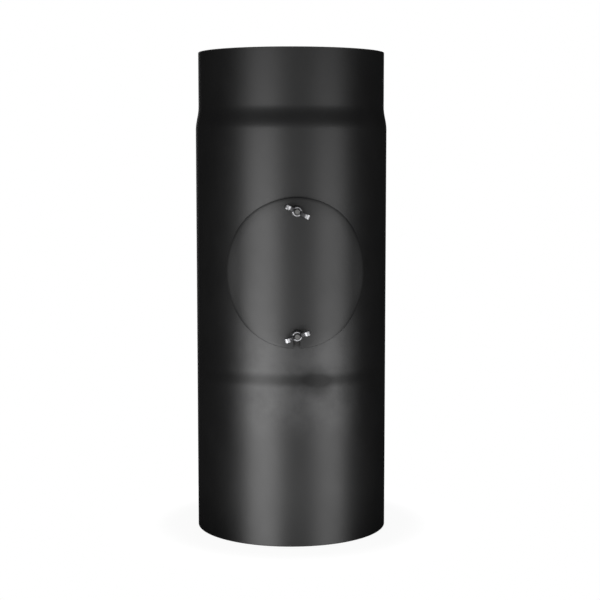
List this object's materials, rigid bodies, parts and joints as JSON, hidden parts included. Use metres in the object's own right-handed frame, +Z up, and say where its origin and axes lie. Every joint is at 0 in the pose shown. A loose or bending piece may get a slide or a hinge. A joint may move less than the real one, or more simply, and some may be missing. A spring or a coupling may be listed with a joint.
{
  "type": "stove pipe with cleanout",
  "caption": "Black steel stove pipe with a spigot end and a round cleanout opening, closed by a curved lid held on studs by wing nuts.",
  "frame": {"origin": "centre of the socket end's rim, on the pipe's axis", "axes": "+Z up along the pipe, from the socket end to the spigot end; the cleanout faces -Y; +X to the right of a person facing the cleanout"},
  "size_m": [0.2, 0.22, 0.5],
  "materials": {
    "stove_paint": "satin black heat-resistant paint",
    "lid_paint": "satin black heat-resistant paint",
    "black_gasket": "pressed black fibre board, filled with graphite",
    "painted_stud": "steel thread under black paint, worn on the crests",
    "black_washer": "black-oxide steel",
    "zinc_nut": "zinc-plated casting, dulled"
  },
  "bodies": {
    "pipe": {"pipe": "stove_paint", "cleanout_lid": "lid_paint", "lid_gasket": "black_gasket", "upper_stud": "painted_stud", "lower_stud": "painted_stud"},
    "upper_washer": {"upper_washer": "black_washer"},
    "upper_wing_nut": {"upper_wing_nut": "zinc_nut"},
    "lower_washer": {"lower_washer": "black_washer"},
    "lower_wing_nut": {"lower_wing_nut": "zinc_nut"}
  },
  "joints": [
    {"name": "upper_nut_travel", "type": "slide", "parent": "pipe", "child": "upper_washer", "axis": [0, -1, 0], "range_m": [0, 0.01]},
    {"name": "upper_nut_turn", "type": "hinge", "parent": "upper_washer", "child": "upper_wing_nut", "pos_m": [0, -0.1057, 0.339], "axis": [0, -1, 0], "range_deg": [0, 3600]},
    {"name": "lower_nut_travel", "type": "slide", "parent": "pipe", "child": "lower_washer", "axis": [0, -1, 0], "range_m": [0, 0.01]},
    {"name": "lower_nut_turn", "type": "hinge", "parent": "lower_washer", "child": "lower_wing_nut", "pos_m": [0, -0.1057, 0.216], "axis": [0, -1, 0], "range_deg": [0, 3600]}
  ],
  "couplings": [
    {"joint": "upper_nut_travel", "follows": "upper_nut_turn", "m_per_rad": 0.00015915},
    {"joint": "lower_nut_travel", "follows": "lower_nut_turn", "m_per_rad": 0.00015915}
  ]
}
